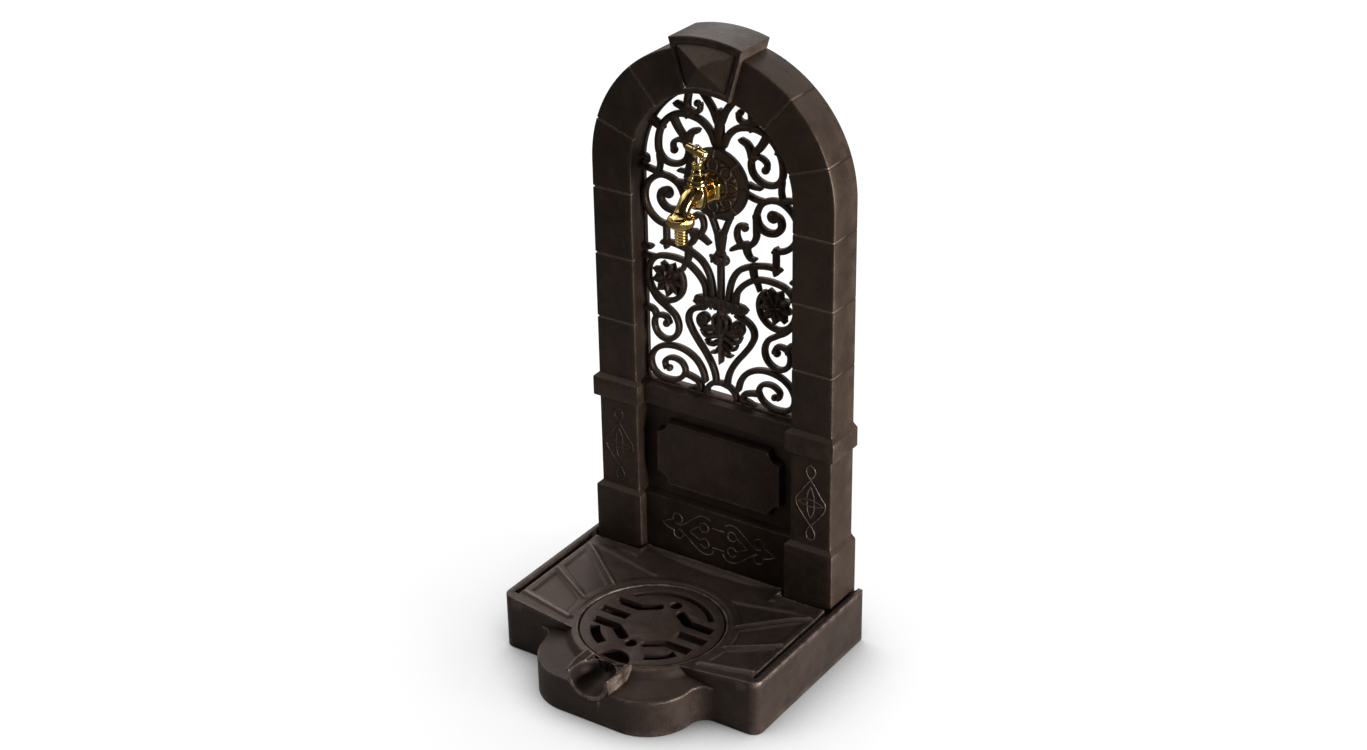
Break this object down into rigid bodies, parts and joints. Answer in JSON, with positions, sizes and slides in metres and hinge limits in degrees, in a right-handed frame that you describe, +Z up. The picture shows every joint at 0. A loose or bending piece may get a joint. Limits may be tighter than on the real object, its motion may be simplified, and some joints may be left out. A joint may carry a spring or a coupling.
{
  "type": "garden fountain",
  "caption": "Free-standing garden fountain: cast basin with drain grate and spout, arched surround, pierced scroll grille and a brass bib tap with a hose union.",
  "frame": {"origin": "on the ground under the middle of the fountain's bounding box", "axes": "+X to the right, -Y towards the viewer in front, +Z up; the back plane is at the largest y"},
  "size_m": [0.372, 0.327, 0.769],
  "materials": {
    "casting": "satin dark bronze paint with worn edges",
    "grate_iron": "satin brown iron",
    "brass": "polished",
    "steel": "zinc plated",
    "rubber": "matt"
  },
  "bodies": {
    "fountain": {"basin_tray": "casting", "arch_surround": "casting", "keystone": "casting", "lower_panel": "casting", "scroll_grille": "casting", "rosette": "casting", "inlet_collar": "brass", "lock_nut": "brass", "tap_body": "brass", "bonnet": "brass", "gland_nut": "brass", "grille_screws": "steel", "panel_screws": "steel", "keystone_screws": "steel", "base_bolts": "steel", "base_washers": "steel", "base_nuts": "steel", "back_washer": "steel", "bonnet_washer": "rubber", "gland_packing": "rubber"},
    "grate": {"drain_grate": "grate_iron"},
    "valve": {"jumper_valve": "brass", "valve_washer": "rubber"},
    "handle": {"spindle": "brass", "tee_handle": "brass", "handle_screw": "steel"},
    "hose_tail": {"hose_tail": "brass", "hose_tail_washer": "rubber"},
    "union_nut": {"hose_union_nut": "brass"}
  },
  "joints": [
    {"name": "valve_lift", "type": "slide", "parent": "fountain", "child": "valve", "axis": [0, 0, 1], "range_m": [0, 0.0051]},
    {"name": "handle_turn", "type": "hinge", "parent": "valve", "child": "handle", "pos_m": [0, 0.0865, 0.64], "axis": [0, 0, 1], "range_deg": [0, 900]},
    {"name": "grate_lift", "type": "slide", "parent": "fountain", "child": "grate", "axis": [0, 0, 1], "range_m": [0, 0.06]},
    {"name": "tail_drop", "type": "slide", "parent": "fountain", "child": "hose_tail", "axis": [0, 0, -1], "range_m": [0, 0.00615]},
    {"name": "union_turn", "type": "hinge", "parent": "hose_tail", "child": "union_nut", "pos_m": [0, 0.0515, 0.565], "axis": [0, 0, -1], "range_deg": [0, 1200]}
  ],
  "couplings": [
    {"joint": "valve_lift", "follows": "handle_turn", "m_per_rad": 0.00031831},
    {"joint": "tail_drop", "follows": "union_turn", "m_per_rad": 0.00028871}
  ]
}
